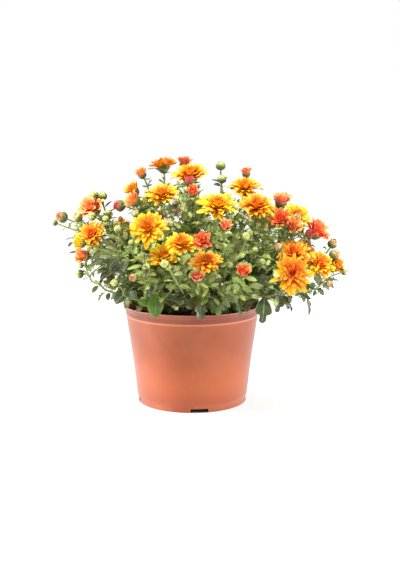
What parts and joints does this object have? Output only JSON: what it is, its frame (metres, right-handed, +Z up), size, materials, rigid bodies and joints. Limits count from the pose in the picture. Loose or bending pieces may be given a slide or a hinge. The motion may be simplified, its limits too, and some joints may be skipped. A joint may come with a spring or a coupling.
{
  "type": "pot chrysanthemum",
  "caption": "Bushy pot chrysanthemum with yellow, orange and red blooms and lobed green leaves, growing in a tapered terracotta-coloured plastic nursery pot.",
  "frame": {"origin": "middle of the pot's foot, on the surface that the pot stands on", "axes": "+Z up, -Y to the front as pictured, +X to the viewer's right"},
  "size_m": [0.3643, 0.3228, 0.311],
  "materials": {
    "pot_plastic": "satin terracotta-coloured moulded plastic",
    "soil": "dark crumbly peat soil",
    "foliage": "soft grey-green lobed leaves and paler green stems",
    "petals_yellow": "yellow petals turning orange to red at their roots",
    "petals_orange": "orange petals, redder at their roots",
    "petals_red": "red and coral petals with paler roots"
  },
  "bodies": {
    "root": {"pot": "pot_plastic", "soil": "soil", "shoot_left": "foliage", "shoot_left_top": "foliage", "shoot_front_left": "foliage", "shoot_top": "foliage", "shoot_front": "foliage", "shoot_front_right": "foliage", "shoot_top_right": "foliage", "shoot_right_front": "foliage", "shoot_right": "foliage", "shoot_back_left": "foliage", "shoot_back": "foliage", "shoot_back_right": "foliage", "bloom_left_1": "petals_orange", "bloom_left_top_1": "petals_orange", "bloom_front_left_1": "petals_yellow", "bloom_front_left_2": "petals_yellow", "bloom_top_1": "petals_yellow", "bloom_top_2": "petals_yellow", "bloom_front_1": "petals_yellow", "bloom_front_2": "petals_orange", "bloom_top_right_1": "petals_yellow", "bloom_top_right_2": "petals_yellow", "bloom_top_right_3": "petals_yellow", "bloom_right_front_1": "petals_orange", "bloom_right_front_2": "petals_yellow", "bloom_right_1": "petals_yellow", "bloom_right_2": "petals_yellow", "bloom_back_left_1": "petals_yellow", "bloom_back_left_2": "petals_yellow", "bloom_back_left_3": "petals_orange", "bloom_back_1": "petals_yellow", "bloom_back_2": "petals_yellow", "bloom_back_3": "petals_orange", "bloom_back_right_1": "petals_yellow", "bloom_back_right_2": "petals_orange", "half_open_left_1": "petals_yellow", "half_open_left_2": "petals_red", "half_open_left_3": "petals_orange", "half_open_left_top_1": "petals_red", "half_open_left_top_2": "petals_orange", "half_open_left_top_3": "petals_red", "half_open_top_1": "petals_red", "half_open_top_2": "petals_red", "half_open_front_1": "petals_red", "half_open_front_2": "petals_red", "half_open_front_right_1": "petals_red", "half_open_front_right_2": "petals_red", "half_open_top_right_1": "petals_red", "half_open_right_front_1": "petals_red", "half_open_right_front_2": "petals_orange", "half_open_right_1": "petals_red", "half_open_right_2": "petals_red", "half_open_right_3": "petals_orange", "half_open_back_left_1": "petals_red", "half_open_back_left_2": "petals_orange", "half_open_back_1": "petals_red", "half_open_back_right_1": "petals_red", "half_open_back_right_2": "petals_red"}
  },
  "joints": []
}
